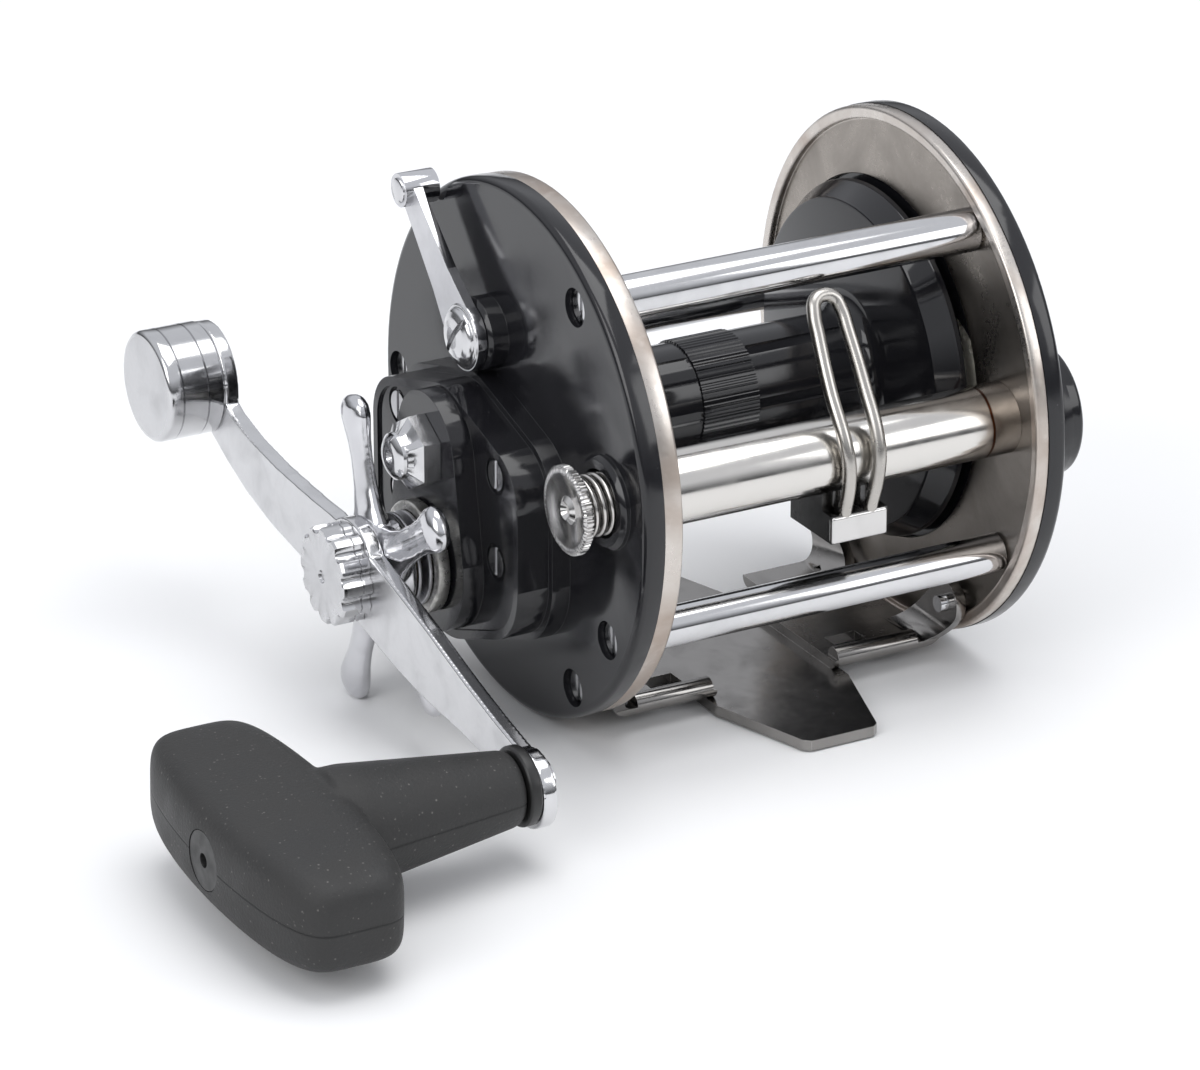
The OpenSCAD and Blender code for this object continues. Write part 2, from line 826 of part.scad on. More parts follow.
// Places children on the grip's spindle: local +X runs along the crossbar, +Z outwards.
module on_grip(x)
    on_crank(x)
        translate([crank_l, 0, 0])
            rotate([0, 0, crank_angle - grip_angle])
                children();

module grip_spindle()
    color([0.75, 0.76, 0.78])
        on_grip(arm_in + 0.9) {
            cylinder(r = 3, h = 0.88);
            cylinder(r = spindle_r, h = palm_out - 3.5);
        }

module grip_washer()
    color([0.04, 0.04, 0.04])
        on_grip(arm_out - 0.1)
            rotate_extrude()
                polygon([[2.1, 0], [5.2, 0], [5.5, 0.3], [5.5, 1.5], [5.2, 1.8], [2.1, 1.8]]);

// Rubber T-grip: a tapered neck and a rounded crossbar, turning on the spindle.
module grip() {
    palm = palm_out - grip_gap;
    color([0.09, 0.09, 0.09])
        on_grip(arm_out - grip_gap)
            difference() {
                union() {
                    rotate_extrude()
                        polygon([
                            [0, 0], [4.6, 0], [5.2, 0.8], [8.4, neck_l], [8.4, neck_l + 3], [0, neck_l + 3]
                        ]);
                    crossbar(palm);
                }
                translate([0, 0, -1])
                    cylinder(r = spindle_r + play, h = palm - 4.6);
                translate([0, 0, palm - 3.5])
                    cylinder(r = plug_r, h = 10);
            }
}

// Rounded crossbar: a shallow ridge on the neck side, bowed on the palm side.
module crossbar(palm)
    hull()
        for (end = [-1, 1])
            for (up = [-1, 1]) {
                translate([end * (grip_l / 2 - 3), up * 3.6, palm - 15.4])
                    sphere(r = 3, $fn = fine);
                translate([end * 9, up * 4, palm - 17.6])
                    sphere(r = 3.4, $fn = fine);
                translate([end * (grip_l / 2 - 4.6), up * 2.4, palm - 9.4])
                    sphere(r = 4.4, $fn = fine);
                translate([end * 9, up * 2, palm - 5.2])
                    sphere(r = 5.2, $fn = fine);
            }

module grip_plug()
    color([0.06, 0.06, 0.06])
        on_grip(arm_out - palm_out + 3.4)
            difference() {
                cylinder(r = plug_r - 0.05, h = 3.2);
                translate([0, 0, 1.4])
                    cylinder(r = 1, h = 3);
            }

// ---------------------------------------------------------------- clutch

module pinion()
    color([0.55, 0.55, 0.57])
        difference() {
            union() {
                slab(teeth_out, teeth_in)
                    spot([spool_y, 0])
                        rotate(270 + 180 / pinion_teeth)
                            gear_shape(pinion_teeth, drive_module);
                bar([spool_y, 0], 3.2, pinion_out, teeth_in + 0.1);
                bar([spool_y, 0], 4.3, neck_out, pinion_out);
                bar([spool_y, 0], 3.3, teeth_in, pinion_in);
            }
            bar([spool_y, 0], shaft_r + play, pinion_out - 1, pinion_in + 1);
            slab(teeth_in + 0.4, pinion_in + 1)
                translate([spool_y - 5, -tang_w / 2 - 0.1])
                    square([10, tang_w + 0.2]);
        }

module yoke()
    color([0.62, 0.62, 0.64])
        difference() {
            union() {
                slab(yoke_x, yoke_x + yoke_t) {
                    translate([spool_y - 10.4, 0.4])
                        square([20.8, 4]);
                    translate([spool_y - 5.6, -3.6])
                        square([11.2, 8]);
                    translate([spool_y - 1.5, 4])
                        square([3, 3]);
                }
                // step down to the finger that the cam lifts
                slab(yoke_x, finger_x + finger_t)
                    translate([spool_y - 1.5, 6.2])
                        square([3, 0.8]);
                slab(finger_x, finger_x + finger_t)
                    translate([spool_y - 0.6, 6.2])
                        square([1.2, lever_z - 6.2 - 2.5]);
            }
            slab(yoke_x - 1, yoke_x + yoke_t + 1) {
                spot([spool_y, 0])
                    circle(r = 3.3);
                translate([spool_y - 3.3, -5])
                    square([6.6, 5]);
            }
            for (side = [-1, 1])
                bar([spool_y + side * 8.6, 2.4], 1, yoke_x - 1, yoke_x + yoke_t + 1);
        }

module yoke_springs()
    color([0.7, 0.7, 0.72])
        for (side = [-1, 1])
            translate([cavity_x + 0.1, spool_y + side * 8.6, plate_z + 2.4])
                rotate([0, 90, 0])
                    translate([0, 0, 0.2])
                        coil(1.35, 0.18, 0.65, 3.5);

// Cam on the lever's shaft: a disc with a rising ramp in five steps.
module cam()
    color([0.62, 0.62, 0.64]) {
        bar([spool_y, lever_z], 4.3, cam_x, cam_x + 0.7);
        bar([spool_y, lever_z], 2, lever_x - 0.1, cam_x + 0.1);
        for (step = [1 : 5])
            slab(cam_x - cam_lift * step / 5, cam_x + 0.1)
                spot([spool_y, lever_z])
                    ramp_sector(-165, -95 - 10 * step);
    }

module ramp_sector(from, to)
    polygon(concat(
        arc([0, 0], 4.2, from, to, 8),
        arc([0, 0], 2.6, to, from, 8)
    ));

// ---------------------------------------------------------------- lever

module on_lever(x)
    translate([x, spool_y, plate_z + lever_z])
        rotate([0, -90, 0])
            rotate([0, 0, 90 - lever_angle])
                children();

module lever()
    color([0.75, 0.76, 0.78])
        on_lever(lever_x - 0.15)
            difference() {
                union() {
                    linear_extrude(height = 1.4) {
                        circle(r = 4.8);
                        polygon([
                            [0, -4.6], [9, -3.1], [lever_l, -2.1], [lever_l, 2.1], [9, 3.1], [0, 4.6]
                        ]);
                    }
                    translate([lever_l, 0, lever_x - 0.15 - pin_in])
                        cylinder(r = 2.4, h = pin_in - pin_out);
                }
                translate([0, 0, -1])
                    cylinder(r = 2.05, h = 5);
            }

module lever_screw()
    color([0.75, 0.76, 0.78])
        slotted_screw([spool_y, lever_z], lever_x - 1.6, -1, 4.1, 1.1, 1.9, 0.01);

// ---------------------------------------------------------------- bearing caps

module crank_bearing_cap()
    color([0.75, 0.76, 0.78])
        difference() {
            union() {
                bar([spool_y, 0], 4.1, cavity_x - 0.2, platform_x - 1);
                slab(-48.6, platform_x - 0.1)
                    spot([spool_y, 0])
                        difference() {
                            circle(r = 5.2);
                            for (k = [0 : 5])
                                rotate(60 * k + 30)
                                    translate([8.6, 0])
                                        circle(r = 4.6);
                        }
                turned([spool_y, 0], [[0, -49.3], [2, -49.3], [3.6, -48.5], [3.6, -48], [0, -48]]);
            }
            bar([spool_y, 0], shaft_r + play, -44.6, cavity_x + 1);
            bar([spool_y, 0], 0.7, -50, -48.9);
        }

module tail_bearing_cap()
    color([0.75, 0.76, 0.78])
        difference() {
            union() {
                bar([spool_y, 0], 4.1, gear_room_tail_x + 0.3, tail_out + 2.2);
                turned([spool_y, 0], [
                    [0, tail_out + 2.1], [6, tail_out + 2.1], [6.4, tail_out + 2.5],
                    [6.4, tail_out + 4.4], [5.8, tail_out + 5.2], [0, tail_out + 5.2]
                ]);
            }
            bar([spool_y, 0], shaft_r + play, gear_room_tail_x - 1, tail_out + 3.4);
            slab(tail_out + 4.4, tail_out + 6)
                spot([spool_y, 0])
                    square([14, 1], center = true);
        }

// ---------------------------------------------------------------- spool

// Half of the spool's outline, from mid-arbor out to one flange's outer face.
spool_half = concat(
    arc([arbor_r + 3, flange_in - 3], 3, 180, 90),
    [[flange_face_r - 0.5, flange_in], [flange_face_r, flange_in + 0.5]],
    [[flange_r, flange_out - 1.2], [flange_r, flange_out - 0.4]],
    [[flange_r - 0.4, flange_out], [0, flange_out]]
);

module spool()
    color([0.025, 0.025, 0.03])
        difference() {
            turned([spool_y, 0], concat(
                [for (i = [len(spool_half) - 1 : -1 : 0]) [spool_half[i].x, -spool_half[i].y]],
                [[arbor_r, knurl[0]], [arbor_r + 0.3, knurl[0] + 0.3]],
                [[arbor_r + 0.3, knurl[1] - 0.3], [arbor_r, knurl[1]]],
                spool_half
            ));
            for (side = [-1, 1])
                bar([spool_y, 0], flange_recess_r, side * 25.6, side * 30);
            bar([spool_y, 0], shaft_r + 0.02, -40, 40);
            arbor_grooves(-20, knurl[0] - 0.8);
            arbor_grooves(knurl[1] + 0.8, 20);
        }

// Shallow grooves along the arbor, where the line is tied on.
module arbor_grooves(x0, x1)
    for (k = [0 : 5])
        translate([x0, spool_y, plate_z])
            rotate([60 * k + 15, 0, 0])
                translate([0, -0.9, arbor_r - 0.35])
                    cube([x1 - x0, 1.8, 2]);

module spool_shaft()
    color([0.6, 0.6, 0.62]) {
        bar([spool_y, 0], shaft_r, -44.4, 35.4);
        slab(-30.9, -30)
            translate([spool_y - 3.2, -tang_w / 2])
                square([6.4, tang_w]);
    }

module spool_gear()
    color([0.72, 0.6, 0.34])
        difference() {
            slab(wind_gear_x, wind_gear_x + wind_gear_t)
                spot([spool_y, 0])
                    rotate(wind_heading)
                        gear_shape(spool_gear_teeth, wind_module);
            bar([spool_y, 0], shaft_r + 0.02, tail_in - 1, tail_out);
        }

module click_ratchet()
    color([0.72, 0.6, 0.34])
        difference() {
            slab(26, 27.4)
                spot([spool_y, 0])
                    ratchet_shape(16, 8, 1);
            bar([spool_y, 0], shaft_r + 0.02, 20, 40);
        }

// ---------------------------------------------------------------- click

module click_tongue()
    color([0.6, 0.6, 0.62]) {
        slab(26.2, 27.2)
            polygon([
                [spool_y + 8.7, -0.15], [spool_y + 11, -1.2], [spool_y + 15.9, -1.2],
                [spool_y + 15.9, 1.2], [spool_y + 11, 1.2], [spool_y + 8.7, 0.15]
            ]);
        bar(click_at, 1, 27.1, tail_out + 0.3);
    }

module click_button()
    color([0.75, 0.76, 0.78])
        difference() {
            union() {
                turned(click_at, [
                    [0, tail_out + 0.2], [3.4, tail_out + 0.2], [3.4, tail_out + 0.8], [2.6, tail_out + 1.2],
                    [2.6, tail_out + 2.2], [2.2, tail_out + 2.6], [0, tail_out + 2.6]
                ]);
            }
            bar(click_at, 1 + play, tail_out, tail_out + 0.35);
        }

// ---------------------------------------------------------------- level wind

module idler_gear()
    color([0.8, 0.79, 0.74])
        difference() {
            slab(wind_gear_x, wind_gear_x + wind_gear_t)
                spot(idler)
                    rotate(wind_heading)
                        gear_shape(idler_teeth, wind_module);
            bar(idler, 1.5 + play, tail_in - 1, tail_out);
        }

module worm_gear()
    color([0.8, 0.79, 0.74])
        difference() {
            union() {
                slab(wind_gear_x, wind_gear_x + wind_gear_t)
                    spot(worm)
                        rotate(wind_heading + 180 + 180 / worm_gear_teeth)
                            gear_shape(worm_gear_teeth, wind_module);
                bar(worm, 4, wind_gear_x + 0.5, bump_x - 2.2);
            }
            bar(worm, 1.6 + 0.02, tail_in - 1, bump_x);
        }

module worm_shaft()
    color([0.62, 0.62, 0.64])
        difference() {
            union() {
                bar(worm, journal_r, worm_end - 1.8, worm_end + 1);
                bar(worm, worm_r, worm_end, tail_in);
                bar(worm, 1.6, tail_in - 0.1, bump_x - 2.2);
            }
            // crossing grooves that carry the pawl to and fro
            for (k = [0 : 9])
                for (lean = [-1, 1])
                    translate([-20.5 + 4.5 * k, worm.x, plate_z + worm.y])
                        rotate([0, 90, 0])
                            rotate([lean * 22, 0, 0])
                                difference() {
                                    cylinder(r = 4, h = 1, center = true, $fn = fine);
                                    cylinder(r = worm_r - 0.7, h = 2, center = true, $fn = fine);
                                }
        }

module worm_tube()
    color([0.72, 0.7, 0.67])
        difference() {
            bar(worm, tube_r, crank_in + ring_web_t, tail_in - ring_web_t);
            bar(worm, tube_bore_r, worm_end - 0.8, tail_in);
            bar(worm, journal_r + play, crank_in - 1, worm_end);
            translate([-23.5, worm.x - 1.7, plate_z + worm.y - 8])
                cube([47, 3.4, 7]);
        }

// Block that the worm drives along under its tube, with a saddle against the tube.
module carriage()
    color([0.75, 0.76, 0.78])
        difference() {
            translate([guide_x - 4.4, worm.x - 5.6, plate_z + carriage_z])
                cube([8.8, 11, 7]);
            bar(worm, tube_r + 0.06, -40, 40);
            // step that leaves the guide's feet in the open
            translate([guide_x - 5, worm.x - 6, plate_z + carriage_z + 4])
                cube([10, 3, 5]);
            translate([guide_x, worm.x, plate_z + carriage_z - 1])
                cylinder(r = 1.5 + play, h = 12);
            for (side = [-1, 1])
                translate([guide_x + side * guide_gap / 2, guide_foot.x, plate_z + guide_foot.y - 0.5])
                    cylinder(r = wire_d / 2 + 0.4, h = 12);
        }

module pawl()
    color([0.6, 0.6, 0.62])
        translate([guide_x, worm.x, plate_z]) {
            translate([0, 0, carriage_z + 0.1])
                cylinder(r = 1.5, h = worm_z - worm_r - 1.1 - carriage_z);
            translate([-1.2, -0.35, worm_z - worm_r - 1.1])
                cube([2.4, 0.7, 0.9]);
        }

module pawl_cap()
    color([0.75, 0.76, 0.78])
        translate([guide_x, worm.x, plate_z + carriage_z - 0.05])
            difference() {
                translate([0, 0, -1.2])
                    cylinder(r = 2.6, h = 1.2);
                translate([-4, -slot_w / 2, -2])
                    cube([8, slot_w, 1.3]);
            }

// Straight piece of the guide's wire, leaning by an angle and a trace thinner than the bends
// that it runs into.
module leg(length, lean)
    rotate([lean, 0, 0])
        cylinder(r = wire_d / 2 - 0.03, h = length);

// Hairpin of wire that the line runs through on its way to the spool.
module line_guide()
    color([0.66, 0.65, 0.62])
        translate([guide_x, 0, plate_z]) {
            half = guide_gap / 2;
            foot = guide_foot;
            knee = guide_knee;
            crown = guide_crown;
            for (side = [-1, 1]) {
                translate([side * half, foot.x, foot.y])
                    leg(norm(knee - foot), atan2(foot.x - knee.x, knee.y - foot.y));
                translate([side * half, knee.x, knee.y]) {
                    sphere(r = wire_d / 2);
                    leg(norm(crown - knee) + 0.2, -atan2(crown.x - knee.x, crown.y - knee.y));
                }
            }
            translate([0, crown.x, crown.y])
                rotate([-atan2(crown.x - knee.x, crown.y - knee.y), 0, 0])
                    difference() {
                        rotate([90, 0, 0])
                            rotate_extrude()
                                translate([half, 0])
                                    circle(r = wire_d / 2);
                        translate([-half - wire_d, -wire_d, -half - wire_d])
                            cube([2 * half + 2 * wire_d, 2 * wire_d, half + wire_d]);
                    }
        }

// ---------------------------------------------------------------- take-down screw

module takedown_knob()
    color([0.75, 0.76, 0.78]) {
        difference() {
            turned(worm, [
                [0, -38.1], [5.8, -38.1], [6.3, -38.4], [6.3, -39.4], [5.9, -39.7], [0, -39.7]
            ]);
            turned(worm, [[0, -40], [4.6, -40], [4.2, -39.3], [0, -39.1]]);
        }
        turned(worm, [[0, -39], [1.5, -39], [1.5, -39.5], [1.2, -39.8], [0, -39.9]]);
        bar(worm, 2.1, -38.2, crank_in + 0.2);
        bar(worm, journal_r, crank_in, worm_end - 2);
    }

module takedown_spring()
    color([0.75, 0.76, 0.78])
        translate([-38, worm.x, plate_z + worm.y])
            rotate([0, 90, 0])
                coil(4, 0.45, 1.35, 4);

// ---------------------------------------------------------------- drawing

crank_side_plate();
crank_side_ring();
tail_side_ring();
tail_plate();
top_post();
front_post();
rear_post();
stand();
post_screws();
stand_screws();
bridge();
bridge_screws();
gear_sleeve();
anti_reverse_ratchet();
anti_reverse_dog();
main_gear();
drag_fibre_washers();
drag_metal_washers();
drag_collar();
spring_washers();
star_wheel();
crank_arm();
crank_nut();
counterweight();
grip_spindle();
grip();
grip_plug();
grip_washer();
pinion();
yoke();
yoke_springs();
cam();
lever();
lever_screw();
crank_bearing_cap();
tail_bearing_cap();
spool();
spool_shaft();
spool_gear();
click_ratchet();
click_tongue();
click_button();
idler_gear();
worm_gear();
worm_shaft();
worm_tube();
carriage();
pawl();
pawl_cap();
line_guide();
takedown_knob();
takedown_spring();
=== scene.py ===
import json
import math

import bmesh
import bpy
from mathutils import Matrix, Vector


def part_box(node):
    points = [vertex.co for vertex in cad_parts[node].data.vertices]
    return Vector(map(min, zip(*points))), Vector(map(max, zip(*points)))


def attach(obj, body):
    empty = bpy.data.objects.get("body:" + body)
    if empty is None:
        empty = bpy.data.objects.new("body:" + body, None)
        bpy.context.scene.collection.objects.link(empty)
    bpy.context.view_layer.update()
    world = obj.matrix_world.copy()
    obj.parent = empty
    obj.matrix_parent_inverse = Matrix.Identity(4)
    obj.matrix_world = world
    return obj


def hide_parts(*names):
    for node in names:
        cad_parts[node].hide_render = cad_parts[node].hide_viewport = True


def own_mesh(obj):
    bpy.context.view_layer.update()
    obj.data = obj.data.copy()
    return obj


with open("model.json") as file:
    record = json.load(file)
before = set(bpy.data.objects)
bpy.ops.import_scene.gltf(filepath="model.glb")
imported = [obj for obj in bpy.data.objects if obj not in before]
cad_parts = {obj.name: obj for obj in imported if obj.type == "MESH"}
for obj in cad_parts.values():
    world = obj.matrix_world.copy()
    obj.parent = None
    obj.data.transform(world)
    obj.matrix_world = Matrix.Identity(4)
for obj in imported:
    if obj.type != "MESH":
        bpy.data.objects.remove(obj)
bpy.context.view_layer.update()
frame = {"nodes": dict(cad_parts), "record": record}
MM = 0.001


def middle(node):
    """Middle of a CAD node's box."""
    low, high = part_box(node)
    return (low + high) / 2


# ---------------------------------------------------------------- shader helpers


class Shader:
    """A procedural material with one Principled shader."""

    def __init__(self, name, metallic=0.0, roughness=0.3, colour=(0.5, 0.5, 0.5)):
        self.material = bpy.data.materials.new(name)
        self.material.use_nodes = True
        self.tree = self.material.node_tree
        self.shader = self.tree.nodes["Principled BSDF"]
        self.set("Metallic", metallic)
        self.set("Roughness", roughness)
        self.set("Base Color", (*colour, 1))
        self.coords = self.add("ShaderNodeTexCoord").outputs["Object"]

    def set(self, socket, value):
        self.shader.inputs[socket].default_value = value

    def link(self, source, target):
        self.tree.links.new(source, target)

    def add(self, kind, **values):
        node = self.tree.nodes.new(kind)
        for key, value in values.items():
            setattr(node, key, value)
        return node

    def stretched(self, scale):
        node = self.add("ShaderNodeMapping")
        node.inputs["Scale"].default_value = scale
        self.link(self.coords, node.inputs["Vector"])
        return node.outputs["Vector"]

    def noise(self, scale, detail=4, distortion=0.0, stretch=None):
        node = self.add("ShaderNodeTexNoise")
        node.inputs["Scale"].default_value = scale
        node.inputs["Detail"].default_value = detail
        node.inputs["Distortion"].default_value = distortion
        source = self.stretched(stretch) if stretch else self.coords
        self.link(source, node.inputs["Vector"])
        return node.outputs["Fac"]

    def specks(self, scale, size):
        """1 inside small scattered round specks, 0 elsewhere."""
        node = self.add("ShaderNodeTexVoronoi")
        node.inputs["Scale"].default_value = scale
        self.link(self.coords, node.inputs["Vector"])
        return self.ramp(node.outputs["Distance"], size, 0, 0, 1)

    def ramp(self, value, low, high, out_low, out_high):
        """Maps low to high onto out_low to out_high, and holds at the ends."""
        node = self.add("ShaderNodeMapRange")
        self.link(value, node.inputs["Value"])
        node.inputs["From Min"].default_value = low
        node.inputs["From Max"].default_value = high
        node.inputs["To Min"].default_value = out_low
        node.inputs["To Max"].default_value = out_high
        return node.outputs["Result"]

    def maths(self, operation, a, b=None):
        node = self.add("ShaderNodeMath", operation=operation)
        for socket, value in zip(node.inputs, (a, b)):
            if value is None:
                continue
            if isinstance(value, (int, float)):
                socket.default_value = value
            else:
                self.link(value, socket)
        return node.outputs[0]

    def mix(self, factor, a, b):
        node = self.add("ShaderNodeMix", data_type="RGBA")
        self.link(factor, node.inputs["Factor"])
        for socket, value in ((node.inputs[6], a), (node.inputs[7], b)):
            if isinstance(value, tuple):
                socket.default_value = (*value, 1)
            else:
                self.link(value, socket)
        return node.outputs[2]

    def colour(self, output):
        self.link(output, self.shader.inputs["Base Color"])

    def roughness(self, output):
        self.link(output, self.shader.inputs["Roughness"])

    def bump(self, height, strength, distance, under=None):
        """Relief from a height, on top of the relief under it."""
        node = self.add("ShaderNodeBump")
        node.inputs["Strength"].default_value = strength
        node.inputs["Distance"].default_value = distance
        self.link(height, node.inputs["Height"])
        if under:
            self.link(under, node.inputs["Normal"])
        self.link(node.outputs["Normal"], self.shader.inputs["Normal"])
        return node.outputs["Normal"]


# ---------------------------------------------------------------- materials


def scaled(colour, factor):
    """A colour made darker or brighter by a factor."""
    return tuple(factor * c for c in colour)


def chrome(name, colour=(0.66, 0.66, 0.67), rough=0.07, grain=None, haze=0.1):
    """Bright plating with smudges, fine polishing lines along the grain and a few dull patches."""
    s = Shader(name, 1.0, rough, colour)
    smudge = s.noise(140, 5, 0.6)
    fine = s.noise(900, 6, stretch=grain)
    s.colour(s.mix(s.ramp(smudge, 0.45, 0.75, 0, 1), colour, scaled(colour, 0.86)))
    base = s.ramp(smudge, 0.4, 0.75, rough, rough + haze)
    s.roughness(s.maths("ADD", base, s.ramp(fine, 0.35, 0.75, 0, 0.5 * haze)))
    s.bump(fine, 0.05, 0.02 * MM)
    return s.material


def satin(name, colour, stain, web, hub, web_r, rough=0.3):
    """Dull nickel with soft stained patches and a fine grain, with painted shade that darkens the web
    inside a ring's rim.
    """
    s = Shader(name, 1.0, rough, colour)
    blotch = s.noise(55, 6, 1.2)
    mottle = s.noise(420, 5)
    fine = s.noise(1500, 6)
    stained = s.mix(s.ramp(blotch, 0.42, 0.68, 0, 1), colour, stain)
    body = s.mix(s.ramp(mottle, 0.55, 0.75, 0, 0.5), stained, scaled(colour, 1.12))
    # Painted shade: inside the rim radius the web takes a darker colour, as if in shadow.
    from_hub = s.add("ShaderNodeVectorMath", operation="DISTANCE")
    s.link(s.stretched((0, 1, 1)), from_hub.inputs[0])
    from_hub.inputs[1].default_value = (0, hub.y, hub.z)
    inside = s.ramp(from_hub.outputs["Value"], web_r - 0.3 * MM, web_r, 1, 0)
    painted_shade_web = s.mix(s.ramp(blotch, 0.35, 0.65, 0, 1), web, scaled(web, 0.72))
    s.colour(s.mix(inside, body, painted_shade_web))
    patchy = s.ramp(blotch, 0.3, 0.7, rough - 0.06, rough + 0.1)
    s.roughness(s.maths("ADD", patchy, s.ramp(fine, 0.3, 0.7, -0.04, 0.05)))
    s.bump(fine, 0.06, 0.02 * MM)
    return s.material


def gloss_black(name, rough=0.09):
    """Moulded black plastic with smudges, a trace of orange peel and dust specks."""
    s = Shader(name, 0.0, rough, (0.012, 0.012, 0.014))
    s.set("IOR", 1.52)
    smudge = s.noise(90, 5, 0.8)
    peel = s.noise(700, 3)
    dust = s.specks(800, 0.07)
    dusty = s.maths("MULTIPLY", dust, s.ramp(smudge, 0.5, 0.6, 0, 1))
    s.colour(s.mix(dusty, (0.011, 0.011, 0.013), (0.2, 0.2, 0.2)))
    s.roughness(s.ramp(smudge, 0.35, 0.7, rough, rough + 0.1))
    s.bump(peel, 0.06, 0.03 * MM)
    return s.material


def rubber(name, seam_normal, seam_offset):
    """Dull black rubber with a grainy skin and pale specks, and a mould seam along a plane."""
    s = Shader(name, 0.0, 0.62, (0.03, 0.03, 0.03))
    s.set("Specular IOR Level", 0.42)
    grain = s.noise(2200, 8)
    patch = s.noise(130, 4)
    specks = s.specks(1000, 0.2)
    body = s.mix(s.ramp(patch, 0.35, 0.65, 0, 1), (0.024, 0.024, 0.024), (0.03, 0.0295, 0.029))
    speckled = s.maths("MULTIPLY", specks, s.ramp(grain, 0.48, 0.58, 0, 0.9))
    skin_colour = s.mix(speckled, body, (0.2, 0.19, 0.18))
    s.roughness(s.ramp(patch, 0.3, 0.7, 0.5, 0.68))
    skin = s.bump(grain, 0.6, 0.15 * MM)
    dot = s.add("ShaderNodeVectorMath", operation="DOT_PRODUCT")
    s.link(s.coords, dot.inputs[0])
    dot.inputs[1].default_value = seam_normal
    away = s.maths("ABSOLUTE", s.maths("SUBTRACT", dot.outputs["Value"], seam_offset))
    groove = s.ramp(away, 0.05 * MM, 0.22 * MM, 0, 1)
    s.colour(s.mix(groove, (0.008, 0.008, 0.008), skin_colour))
    s.bump(groove, 0.6, 0.15 * MM, skin)
    return s.material


def dull(name, colour, rough=0.5, metallic=0.0, scale=500):
    """Fibre, plain plastic or raw metal with a mottled surface."""
    s = Shader(name, metallic, rough, colour)
    mottle = s.noise(scale, 5)
    s.colour(s.mix(s.ramp(mottle, 0.35, 0.7, 0, 1), colour, scaled(colour, 0.7)))
    s.roughness(s.ramp(mottle, 0.3, 0.7, rough - 0.08, rough + 0.1))
    s.bump(mottle, 0.15, 0.05 * MM)
    return s.material


def patina_tube(name, end):
    """Polished plating, stained brown behind a thin rusty line near the tail end of the tube."""
    s = Shader(name, 1.0, 0.12, (0.66, 0.64, 0.61))
    axis = s.add("ShaderNodeSeparateXYZ")
    s.link(s.coords, axis.inputs[0])
    wander = s.ramp(s.noise(300, 4), 0, 1, -0.2 * MM, 0.2 * MM)
    along = s.maths("ADD", axis.outputs["X"], wander)
    line_at = end - 4.4 * MM
    stain = s.ramp(along, line_at - 3 * MM, line_at, 0, 0.75)
    fine = s.noise(800, 6, stretch=(0.06, 1, 1))
    smudge = s.noise(150, 5, 1.0)
    spotty = s.maths("MULTIPLY", stain, s.ramp(smudge, 0.3, 0.65, 0.4, 1))
    away = s.maths("ABSOLUTE", s.maths("SUBTRACT", along, line_at))
    line = s.ramp(away, 0.12 * MM, 0.32 * MM, 1, 0)
    body = s.mix(spotty, (0.68, 0.66, 0.63), (0.34, 0.29, 0.25))
    s.colour(s.mix(line, body, (0.09, 0.03, 0.012)))
    s.roughness(s.ramp(smudge, 0.35, 0.75, 0.12, 0.26))
    s.bump(fine, 0.06, 0.02 * MM)
    return s.material


def forged(name, colour=(0.66, 0.66, 0.67)):
    """Plated forging: satin on the faces across X, polished round the edges."""
    s = Shader(name, 1.0, 0.12, colour)
    facing = s.add("ShaderNodeSeparateXYZ")
    s.link(s.add("ShaderNodeTexCoord").outputs["Normal"], facing.inputs[0])
    flat = s.ramp(s.maths("ABSOLUTE", facing.outputs["X"]), 0.95, 0.995, 0, 1)
    smudge = s.noise(160, 5, 0.6)
    mottle = s.noise(1400, 6)
    s.colour(s.mix(s.ramp(smudge, 0.45, 0.75, 0, 1), colour, scaled(colour, 0.88)))
    polish = s.ramp(smudge, 0.4, 0.75, 0.09, 0.18)
    matt = s.maths("MULTIPLY", flat, s.ramp(mottle, 0.3, 0.7, 0.2, 0.3))
    s.roughness(s.maths("ADD", polish, matt))
    s.bump(mottle, 0.14, 0.03 * MM)
    return s.material


along_x = (0.05, 1, 1)
materials = {
    "plates": gloss_black("plates"),
    "posts": chrome("posts", grain=along_x),
    "screws": chrome("screws", rough=0.1),
    "stand": chrome("stand", (0.3, 0.29, 0.28), 0.13, haze=0.14),
    "brass": dull("brass", (0.62, 0.44, 0.18), 0.3, 1.0),
    "steel": dull("steel", (0.5, 0.5, 0.52), 0.3, 1.0),
    "fibre": dull("fibre", (0.3, 0.16, 0.08), 0.8),
    "collar": dull("collar", (0.6, 0.59, 0.56), 0.3, 1.0, 900),
    "star": chrome("star", (0.64, 0.64, 0.66), 0.1, haze=0.12),
    "crank": forged("crank"),
    "nut": forged("nut", (0.62, 0.62, 0.63)),
    "counterweight": forged("counterweight", (0.62, 0.62, 0.63)),
    "grip_fittings": dull("grip_fittings", (0.015, 0.015, 0.015), 0.4),
    "springs": chrome("springs", (0.6, 0.58, 0.56), 0.16),
    "lever": forged("lever", (0.66, 0.66, 0.68)),
    "bearing_caps": chrome("bearing_caps", (0.64, 0.64, 0.65), 0.1),
    "spool": gloss_black("spool", 0.07),
    "gear_plastic": dull("gear_plastic", (0.7, 0.67, 0.58), 0.5),
    "carriage": chrome("carriage", (0.1, 0.1, 0.1), 0.2),
    "guide": chrome("guide", (0.5, 0.48, 0.45), 0.2, haze=0.12),
    "takedown": chrome("takedown", (0.64, 0.63, 0.62), 0.13),
}
materials["rings"] = satin(
    "rings",
    colour=(0.62, 0.58, 0.54),
    stain=(0.45, 0.38, 0.33),
    # The web colour is painted shade, darker than the rim.
    web=(0.33, 0.3, 0.27),
    hub=middle("tail_side_ring"),
    web_r=36 * MM,
)
materials["tube"] = patina_tube("tube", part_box("worm_tube")[1].x)
